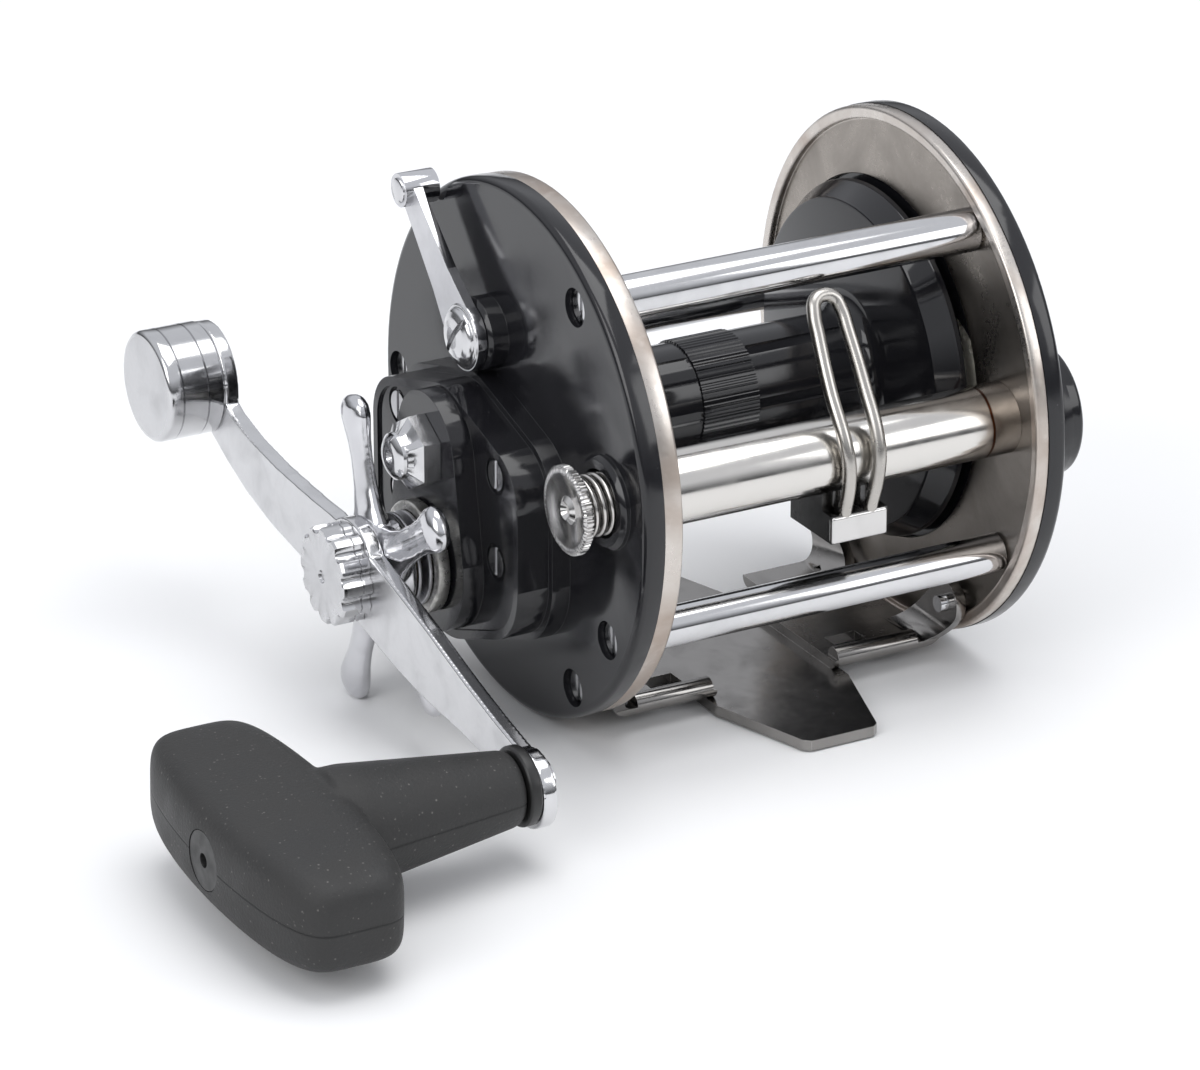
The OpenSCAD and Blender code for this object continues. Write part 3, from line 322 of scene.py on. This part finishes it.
# Painted highlight: a brighter plating colour for the stand's rounded edges.
painted_edge_highlight = chrome("painted_edge_highlight", (0.72, 0.7, 0.68), 0.2)


# ---------------------------------------------------------------- mesh helpers


def soften_edges(piece, width, angle=32, edge_material=None):
    """Joins the faces of a mesh and rounds its sharp edges, which can take a material of their own."""
    weld = piece.modifiers.new("weld", "WELD")
    weld.merge_threshold = 0.004 * MM
    bevel = piece.modifiers.new("edges", "BEVEL")
    bevel.width = width * MM
    bevel.segments = 3
    bevel.limit_method = "ANGLE"
    bevel.angle_limit = math.radians(angle)
    bevel.harden_normals = True
    if edge_material:
        piece.data.materials.append(edge_material)
        bevel.material = len(piece.data.materials) - 1


def link_piece(name, data, material, body, nodes=()):
    """Puts a new piece in the scene, on its body, in place of its CAD nodes."""
    piece = bpy.data.objects.new(name, data)
    bpy.context.scene.collection.objects.link(piece)
    data.materials.clear()
    data.materials.append(material)
    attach(piece, body)
    if nodes:
        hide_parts(*nodes)
    return piece


def add_skin(piece, voxel, passes):
    """Fuses a piece into one skin and relaxes its edges."""
    remesh = piece.modifiers.new("skin", "REMESH")
    remesh.mode = "VOXEL"
    remesh.voxel_size = voxel * MM
    remesh.use_smooth_shade = True
    relax = piece.modifiers.new("relax", "SMOOTH")
    relax.iterations = passes
    relax.factor = 0.5


def link_temporary(name, data):
    """Puts an object in the scene that is removed again once its mesh has been read."""
    piece = bpy.data.objects.new(name, data)
    bpy.context.scene.collection.objects.link(piece)
    return piece


def wire(name, points, radius, smooth=False):
    """A round wire through points, with flat ends."""
    curve = bpy.data.curves.new(name, "CURVE")
    curve.dimensions = "3D"
    curve.bevel_depth = radius
    curve.bevel_resolution = 6
    curve.use_fill_caps = True
    spline = curve.splines.new("BEZIER" if smooth else "POLY")
    target = spline.bezier_points if smooth else spline.points
    target.add(len(points) - 1)
    for place, point in zip(target, points):
        if smooth:
            place.co = point
            place.handle_left_type = place.handle_right_type = "AUTO"
        else:
            place.co = (*point, 1)
    spline.resolution_u = 16
    return curve


def mesh_of(curve):
    """The mesh of a curve."""
    holder = link_temporary(curve.name, curve)
    graph = bpy.context.evaluated_depsgraph_get()
    data = bpy.data.meshes.new_from_object(holder.evaluated_get(graph))
    bpy.data.objects.remove(holder)
    return data


def helix(centre, radius, x0, x1, turns, steps=40):
    """Points of a coil along X."""
    count = int(turns * steps)
    points = []
    for i in range(count + 1):
        angle = 2 * math.pi * i / steps
        x = x0 + (x1 - x0) * i / count
        y = centre.y + radius * math.cos(angle)
        z = centre.z + radius * math.sin(angle)
        points.append(Vector((x, y, z)))
    return points


def ring_faces(rings, sides):
    """Faces between neighbouring rings of points, each ring closed on itself."""
    faces = []
    for ring in range(rings):
        for k in range(sides):
            a = ring * sides + k
            b = ring * sides + (k + 1) % sides
            faces.append((a, b, b + sides, a + sides))
    return faces


def turned_mesh(name, centre, profile, shape=None, steps=192):
    """Surface of revolution about a line along X, through a profile of (x, radius) in metres.

    shape(x, radius, angle) gives the radius at an angle, for knurls, flutes and flats.
    """
    vertices = []
    for x, radius in profile:
        for k in range(steps):
            angle = 2 * math.pi * k / steps
            r = shape(x, radius, angle) if shape else radius
            vertices.append((x, centre.y + r * math.cos(angle), centre.z + r * math.sin(angle)))
    data = bpy.data.meshes.new(name)
    data.from_pydata(vertices, [], ring_faces(len(profile) - 1, steps))
    data.shade_smooth()
    data.set_sharp_from_angle(angle=math.radians(35))
    return data


def baked(name, data, voxel, passes, cutters=()):
    """A mesh fused into one skin, relaxed, with the cutters' forms taken out of it."""
    rough = link_temporary(name, data)
    add_skin(rough, voxel, passes)
    tools = []
    for i, cutter in enumerate(cutters):
        tool = link_temporary(f"{name}_cutter_{i}", cutter)
        cut = rough.modifiers.new("cut", "BOOLEAN")
        cut.object = tool
        cut.operation = "DIFFERENCE"
        tools.append(tool)
    graph = bpy.context.evaluated_depsgraph_get()
    result = bpy.data.meshes.new_from_object(rough.evaluated_get(graph))
    result.name = name
    for leftover in (rough, *tools):
        bpy.data.objects.remove(leftover)
    result.set_sharp_from_angle(angle=math.radians(50))
    return result


def joined(name, *parts):
    """One mesh of several."""
    mesh = bmesh.new()
    for part in parts:
        mesh.from_mesh(part)
    data = bpy.data.meshes.new(name)
    mesh.to_mesh(data)
    mesh.free()
    return data


def mm_profile(start, points):
    """Profile in metres from (distance, radius) in millimetres, measured from start along +X."""
    return [(start + along * MM, radius * MM) for along, radius in points]


def block_mesh(name, size, centre, turn=Matrix.Identity(4)):
    """A rectangular block round a centre."""
    block = bmesh.new()
    bmesh.ops.create_cube(block, size=1)
    data = bpy.data.meshes.new(name)
    block.to_mesh(data)
    block.free()
    data.transform(Matrix.Translation(centre) @ turn @ Matrix.Diagonal((*size, 1)))
    return data


# ---------------------------------------------------------------- CAD pieces


def dress_cad_nodes():
    """Gives every CAD node its slot's material and rounds its edges."""
    slots = {part["node"]: part["material_slot"] for part in frame["record"]["subparts"]}
    widths = {"plates": 0.45, "stand": 0.6, "lever": 0.35, "rings": 0.15}
    for node, piece in frame["nodes"].items():
        slot = slots[node]
        if slot in materials:
            for place in piece.material_slots:
                place.material = materials[slot]
        # The stand's bevels take the painted edge highlight.
        edge = painted_edge_highlight if slot == "stand" else None
        soften_edges(piece, widths.get(slot, 0.12), edge_material=edge)


def line_guide():
    """Line guide: a narrow loop of wire, bent back at a knee, with both feet on the carriage."""
    low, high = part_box("line_guide")
    r = 1 * MM
    x = (low.x + high.x) / 2
    foot = Vector((0, low.y + 3.4 * MM, low.z + r))
    knee = Vector((0, low.y + r, low.z + 9.5 * MM))
    bend = Vector((0, low.y + 1.4 * MM, low.z + 12.6 * MM))
    top = Vector((0, high.y - r, high.z - r))
    slope = (top - bend).normalized()
    half_line = [
        (foot, 1.95),
        (knee, 2.3),
        (bend, 2.5),
        (bend + 0.4 * (top - bend), 2.65),
        (bend + 0.75 * (top - bend), 2.35),
        (top - 2.2 * MM * slope, 2.1),
        (top - 0.6 * MM * slope, 1.5),
    ]
    points = [at + Vector((x - half * MM, 0, 0)) for at, half in half_line]
    points.append(top + Vector((x, 0, 0)))
    points += [at + Vector((x + half * MM, 0, 0)) for at, half in reversed(half_line)]
    data = wire("guide_wire", points, r, smooth=True)
    link_piece("guide_wire", data, materials["guide"], "carriage", ["line_guide"])


def takedown_disc():
    """Take-down knob: a knurled disc, dished round a centre mark, on its stem."""
    knurls = 64
    low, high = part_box("takedown_knob")
    r = (high.z - low.z) / 2 / MM
    profile = mm_profile(low.x, [
        (0.9, 0.0),
        (0.9, 0.7),
        (0.3, 1.3),
        (0.8, 2.0),
        (0.6, 4.0),
        (0.25, r - 1.3),
        (0.2, r - 0.6),
        (0.45, r - 0.1),
        (1.35, r - 0.1),
        (1.6, r - 0.5),
        (1.6, 2.1),
        (6.0, 2.1),
        (6.0, 0.0),
    ])

    def knurl(x, radius, angle):
        on_rim = radius > (r - 0.2) * MM
        return radius - (0.3 * MM if on_rim and math.sin(knurls * angle) > 0 else 0)

    data = turned_mesh("takedown_disc", middle("takedown_knob"), profile, knurl, 256)
    link_piece("takedown_disc", data, materials["takedown"], "takedown", ["takedown_knob"])


def takedown_coil():
    """The spring under the take-down knob."""
    low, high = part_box("takedown_spring")
    turns = 3.6
    inset = 0.5 * MM
    coil_r = (high.z - low.z) / 2 - 0.45 * MM
    points = helix(middle("takedown_spring"), coil_r, low.x + inset, high.x - inset, turns)
    data = wire("takedown_coil", points, 0.42 * MM)
    link_piece("takedown_coil", data, materials["springs"], "frame", ["takedown_spring"])


def yoke_coils():
    """The two springs behind the yoke, as fixed coils on the frame; they do not shorten as the yoke
    slides out.
    """
    low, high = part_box("yoke_springs")
    turns = 3.5
    wire_r = 0.18 * MM
    coil_r = (high.z - low.z) / 2 - wire_r
    coils = []
    for y in (low.y + coil_r + wire_r, high.y - coil_r - wire_r):
        centre = Vector((0, y, (low.z + high.z) / 2))
        curve = wire("coil", helix(centre, coil_r, low.x + wire_r, high.x - wire_r, turns), wire_r)
        coils.append(mesh_of(curve))
    data = joined("yoke_coils", *coils)
    data.shade_smooth()
    piece = link_piece("yoke_coils", data, materials["springs"], "frame", ["yoke_springs"])
    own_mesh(piece)


def spool_piece():
    """Spool with a fluted arbor, a knurled band round its middle and deep flanges."""
    low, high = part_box("spool")
    centre = middle("spool_shaft")
    rim = (high.z - low.z) / 2 / MM
    arbor = 7.9
    fillet_r = 3
    fillet_x = 21
    knurls = 72
    grooves = 6
    angles = [math.radians(15 * i) for i in range(7)]
    fillet = [
        (fillet_x + fillet_r * math.sin(a), arbor + fillet_r - fillet_r * math.cos(a)) for a in angles
    ]
    flange = [
        (24, rim - 2.5),
        (24.15, rim - 2.1),
        (24.5, rim - 2),
        (27, rim - 0.15),
        (27.3, rim),
        (28, rim),
        (28.4, rim - 0.4),
    ]
    recess = [(28.4, 20.4), (28.2, 20), (25.6, 20), (25.6, 2.05)]
    half = [(5.6, arbor), (20, arbor), *fillet, *flange, *recess]
    band = [(-4.1, arbor), (-4, arbor + 0.2), (4.9, arbor + 0.2), (5, arbor)]
    left = [(-x, radius) for x, radius in reversed(half)]
    left[-1] = (-4.6, arbor)
    profile = mm_profile(0, left + band + half)

    def surface(x, radius, angle):
        at = x / MM
        if radius > (arbor + 0.25) * MM:
            return radius
        if -4.05 < at < 4.95:
            return radius + (0.16 * MM if math.sin(knurls * angle) > 0 else 0)
        in_groove = math.cos(grooves * angle) > 0.8
        return radius - (0.3 * MM if in_groove and (at < -4.3 or at > 5.2) else 0)

    data = turned_mesh("spool_body", centre, profile, surface, 288)
    link_piece("spool_body", data, materials["spool"], "spool", ["spool"])


def nut_piece():
    """Crank nut: twelve rounded lobes, a joint line round the side and a dot in the middle."""
    lobes = 12
    low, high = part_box("crank_nut")
    r = (high.y - low.y) / 2 / MM
    length = (high.x - low.x) / MM
    profile = mm_profile(low.x, [
        (0.4, 0.0),
        (0.4, 0.75),
        (0.0, 0.95),
        (0.0, r - 0.7),
        (0.15, r - 0.25),
        (0.5, r),
        (2.9, r),
        (3.02, r - 0.25),
        (3.14, r),
        (length, r),
        (length, 4.4),
    ])

    def flutes(x, radius, angle):
        if radius < (r - 1) * MM:
            return radius
        off = lobes * angle / (2 * math.pi) % 1 - 0.5
        return radius - 0.75 * MM * max(0, 1 - (off / 0.3) ** 2)

    data = turned_mesh("nut_body", middle("crank_nut"), profile, flutes, 360)
    link_piece("nut_body", data, materials["nut"], "crank", ["crank_nut"])


def counterweight_piece():
    """Counterweight: a drum with two fine grooves and eased rims."""
    low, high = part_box("counterweight")
    r = (high.y - low.y) / 2 / MM
    length = (high.x - low.x) / MM
    profile = [(0.0, 0.0), (0.0, r - 0.9), (0.12, r - 0.45), (0.45, r - 0.12), (0.9, r)]
    for groove in (2.2, 6.1):
        profile += [(groove, r), (groove + 0.15, r - 0.28), (groove + 0.3, r)]
    profile += [(length - 0.3, r), (length, r - 0.3), (length, 0.0)]
    data = turned_mesh("weight_drum", middle("counterweight"), mm_profile(low.x, profile), steps=256)
    metal = materials["counterweight"]
    link_piece("weight_drum", data, metal, "crank", ["counterweight"])


def bearing_cap_piece():
    """Bearing cap: six flats at the base, scallops in front of them and a domed button."""
    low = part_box("crank_bearing_cap")[0]
    profile = mm_profile(low.x, [
        (0.75, 0.0),
        (0.7, 0.55),
        (0.1, 0.95),
        (0.0, 1.6),
        (0.2, 2.6),
        (0.75, 3.3),
        (1.15, 3.4),
        (1.5, 3.1),
        (2.3, 3.9),
        (3.1, 5.4),
        (5.6, 5.45),
        (5.9, 5.2),
        (5.9, 4.1),
        (9.2, 4.1),
    ])

    def flats(x, radius, angle):
        along = (x - low.x) / MM
        sector = (angle + math.pi / 6) % (math.pi / 3) - math.pi / 6
        hexagon = math.cos(math.pi / 6) / math.cos(sector)
        if along > 2.9 and radius > 5 * MM:
            return radius * hexagon
        if 2 < along < 2.9:
            return radius * (0.8 + 0.3 * (1 - math.cos(3 * sector)))
        return radius

    data = turned_mesh("cap_body", middle("crank_bearing_cap"), profile, flats, 288)
    metal = materials["bearing_caps"]
    link_piece("cap_body", data, metal, "crank_cap", ["crank_bearing_cap"])


def carriage_front():
    """Bright rounded front plate on the dark carriage."""
    low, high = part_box("carriage")
    size = Vector((high.x - low.x + 0.1 * MM, 1.1 * MM, 4 * MM))
    centre = Vector(((low.x + high.x) / 2, low.y + 0.3 * MM, low.z + 1.95 * MM))
    data = block_mesh("carriage_front", size, centre)
    piece = link_piece("carriage_front", data, materials["takedown"], "carriage")
    soften_edges(piece, 0.5)


def crossbar_mesh(centre, palm_x, along, across):
    """The grip's crossbar: boxy rounded sections along it, bowed on the palm side."""
    half_length = 25.2 * MM
    neck_x = -20.5 * MM
    palm_bow = 2.8 * MM
    neck_bow = 2.4 * MM
    end_power = 6
    corner_power = 0.45
    stations = 64
    sides = 96
    out = Vector((-1, 0, 0))
    vertices = []
    for i in range(stations + 1):
        t = -math.cos(math.pi * i / stations)
        end = max(0, 1 - abs(t) ** end_power) ** (1 / end_power)
        palm = -palm_bow * t * t
        neck = neck_x + neck_bow * abs(t) ** 1.5
        depth = (palm - neck) / 2
        height = (7.7 - 0.5 * t * t) * MM
        section = Vector((palm_x, centre.y, centre.z)) + out * (palm + neck) / 2 + along * t * half_length
        for k in range(sides):
            angle = 2 * math.pi * k / sides
            w = math.copysign(abs(math.cos(angle)) ** corner_power, math.cos(angle))
            v = math.copysign(abs(math.sin(angle)) ** corner_power, math.sin(angle))
            vertices.append(section + out * w * depth * end + across * v * height * end)
    data = bpy.data.meshes.new("crossbar")
    data.from_pydata(vertices, [], ring_faces(stations, sides))
    return data


def plain_cylinder(name, centre, x0, x1, radius):
    """A cylinder along X, from x0 to x1."""
    profile = [(x0, 0.0), (x0, radius), (x1, radius), (x1, 0.0)]
    return turned_mesh(name, centre, profile, steps=96)


def grip_piece():
    """Rubber skin of the T-grip, with the plug's pocket and the spindle's bore."""
    tilt = 3
    angle = math.radians(tilt)
    along = Vector((0, -math.cos(angle), -math.sin(angle)))
    across = Vector((0, -math.sin(angle), math.cos(angle)))
    centre = middle("grip_plug")
    low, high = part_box("grip")
    neck = turned_mesh("neck", centre, [
        (high.x, 0.0),
        (high.x, 4.6 * MM),
        (high.x - 0.8 * MM, 5.2 * MM),
        (high.x - 24 * MM, 8.3 * MM),
        (high.x - 27 * MM, 8.3 * MM),
        (high.x - 27 * MM, 0.0),
    ])
    body = joined("grip_body", crossbar_mesh(centre, low.x, along, across), neck)
    past = 2 * MM
    pocket = plain_cylinder("pocket", centre, low.x - past, low.x + 3.4 * MM, 4.15 * MM)
    bore = plain_cylinder("bore", centre, low.x + 4.6 * MM, high.x + past, 2.05 * MM)
    skin = rubber("grip_rubber", tuple(across), centre.dot(across))
    data = baked("grip_skin", body, 0.45, 6, (pocket, bore))
    link_piece("grip_skin", data, skin, "grip", ["grip"])


def star_piece():
    """Star wheel: a hub with five arms that swell into flattened tips."""
    arm_count = 5
    first_arm = 74
    flatness = 0.52
    low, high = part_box("star_wheel")
    hub_at = middle("crank_nut")
    arm_x = high.x - 2.9 * MM
    hub = turned_mesh("hub", hub_at, [
        (high.x, 4.3 * MM),
        (high.x, 6.6 * MM),
        (high.x - 0.4 * MM, 7 * MM),
        (low.x + 0.8 * MM, 7 * MM),
        (low.x, 6.2 * MM),
        (low.x, 4.3 * MM),
        (high.x, 4.3 * MM),
    ])
    profile = mm_profile(0, [
        (0, 0),
        (3.0, 4.8),
        (6, 4.0),
        (8, 3.2),
        (11, 2.6),
        (15, 2.4),
        (17.5, 2.6),
        (19.5, 3.0),
        (21, 3.3),
        (22.4, 3.1),
        (23.4, 2.3),
        (23.9, 1.2),
        (24, 0.0),
    ])
    place = Matrix.Translation((arm_x, hub_at.y, hub_at.z))
    flatten = Matrix.Diagonal((flatness, 1, 1, 1))
    outward = Matrix.Rotation(math.radians(90), 4, "Z")
    arms = []
    for i in range(arm_count):
        arm = turned_mesh("arm", Vector(), profile, steps=48)
        round_hub = Matrix.Rotation(math.radians(first_arm + 360 / arm_count * i), 4, "X")
        arm.transform(place @ flatten @ round_hub @ outward)
        arms.append(arm)
    body = joined("star_body", hub, *arms)
    data = baked("star_casting", body, 0.22, 12)
    link_piece("star_casting", data, materials["star"], "star", ["star_wheel"])


def pivot_screw():
    """The lever's domed pivot screw, with its slot and washers."""
    slot_angle = 127
    slot_size = (1.9 * MM, 12 * MM, 0.9 * MM)
    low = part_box("lever_screw")[0]
    centre = middle("lever_screw")
    dome = turned_mesh("dome", centre, mm_profile(low.x, [
        (-0.5, 0.0),
        (-0.45, 1.5),
        (-0.2, 2.8),
        (0.2, 3.7),
        (0.5, 4.0),
        (0.9, 4.1),
        (0.95, 4.5),
        (1.15, 4.6),
        (1.2, 4.75),
        (1.5, 4.8),
        (1.6, 4.7),
        (1.6, 0.0),
    ]))
    slot_at = (low.x - 0.5 * MM, centre.y, centre.z)
    turn = Matrix.Rotation(math.radians(slot_angle), 4, "X")
    slot = block_mesh("slot", slot_size, slot_at, turn)
    data = baked("pivot_screw", dome, 0.12, 1, [slot])
    link_piece("pivot_screw", data, materials["screws"], "lever", ["lever_screw"])


def pin_button():
    """The button on the end of the lever's thumb pin."""
    lever_length = 23 * MM
    lever_angle = math.radians(45)
    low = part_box("lever")[0]
    pivot = middle("lever_screw")
    y = pivot.y + lever_length * math.cos(lever_angle)
    z = pivot.z + lever_length * math.sin(lever_angle)
    data = turned_mesh("pin_button", Vector((0, y, z)), mm_profile(low.x, [
        (-0.35, 0.0),
        (-0.35, 1.5),
        (-0.2, 1.75),
        (0.02, 1.8),
        (0.04, 2.15),
        (0.5, 2.15),
    ]))
    link_piece("pin_button", data, materials["screws"], "lever")


def crank_forging():
    """The crank arm as a soft-edged forging."""
    data = frame["nodes"]["crank_arm"].data.copy()
    piece = link_piece("crank_forging", data, materials["crank"], "crank", ["crank_arm"])
    add_skin(piece, 0.22, 5)


dress_cad_nodes()
line_guide()
takedown_disc()
takedown_coil()
yoke_coils()
spool_piece()
nut_piece()
counterweight_piece()
bearing_cap_piece()
carriage_front()
grip_piece()
star_piece()
pivot_screw()
pin_button()
crank_forging()


# ---------------------------------------------------------------- studio


def studio():
    """Pale floor just under the foot, a soft sky and three softboxes."""
    floor_z = -0.0003
    bpy.ops.mesh.primitive_plane_add(size=12, location=(0, 0, floor_z))
    floor = bpy.context.object
    floor.name = "floor"
    s = Shader("floor", 0.0, 0.6, (0.9, 0.9, 0.9))
    faint = s.noise(3, 3)
    s.colour(s.mix(s.ramp(faint, 0.3, 0.7, 0, 1), (0.9, 0.9, 0.9), (0.88, 0.88, 0.88)))
    floor.data.materials.append(s.material)

    world = bpy.data.worlds.new("studio")
    bpy.context.scene.world = world
    world.use_nodes = True
    sky(world.node_tree)
    softbox("top", (0.1, -0.1, 1.3), 1.0, 8)
    softbox("left", (-1.2, -0.5, 0.8), 0.9, 7)
    softbox("right", (0.9, -1.0, 0.7), 0.7, 3)


def sky(tree):
    """Light room: bright overhead, dark round the horizon, which draws the edges of bright metal."""
    background = tree.nodes["Background"]
    background.inputs["Color"].default_value = (0.93, 0.95, 1, 1)
    direction = tree.nodes.new("ShaderNodeTexCoord")
    axis = tree.nodes.new("ShaderNodeSeparateXYZ")
    height = tree.nodes.new("ShaderNodeMapRange")
    height.inputs["From Min"].default_value = 0.05
    height.inputs["From Max"].default_value = 0.45
    height.inputs["To Min"].default_value = 0.08
    height.inputs["To Max"].default_value = 0.8
    tree.links.new(direction.outputs["Generated"], axis.inputs[0])
    tree.links.new(axis.outputs["Z"], height.inputs["Value"])
    tree.links.new(height.outputs["Result"], background.inputs["Strength"])


def softbox(name, place, size, power):
    """A square lamp aimed at the middle of the reel."""
    data = bpy.data.lights.new(name, "AREA")
    data.size = size
    data.energy = power
    light = bpy.data.objects.new(name, data)
    bpy.context.scene.collection.objects.link(light)
    light.location = place
    aim = Vector((-0.01, 0, 0.035)) - light.location
    light.rotation_mode = "QUATERNION"
    light.rotation_quaternion = aim.to_track_quat("-Z", "Y")


def camera():
    """The photograph's view: a long lens, from the front left and above."""
    place = (-0.39452, -0.68133, 0.35742)
    forward = Vector((0.4431, 0.8044, -0.3957))
    data = bpy.data.cameras.new("camera")
    data.sensor_width = 36
    data.lens = 182.1
    data.dof.use_dof = False
    data.clip_start = 0.05
    view = bpy.data.objects.new("camera", data)
    bpy.context.scene.collection.objects.link(view)
    view.location = place
    view.rotation_mode = "QUATERNION"
    view.rotation_quaternion = forward.to_track_quat("-Z", "Y")
    bpy.context.scene.camera = view


studio()
camera()
bpy.context.scene.view_settings.view_transform = "Standard"
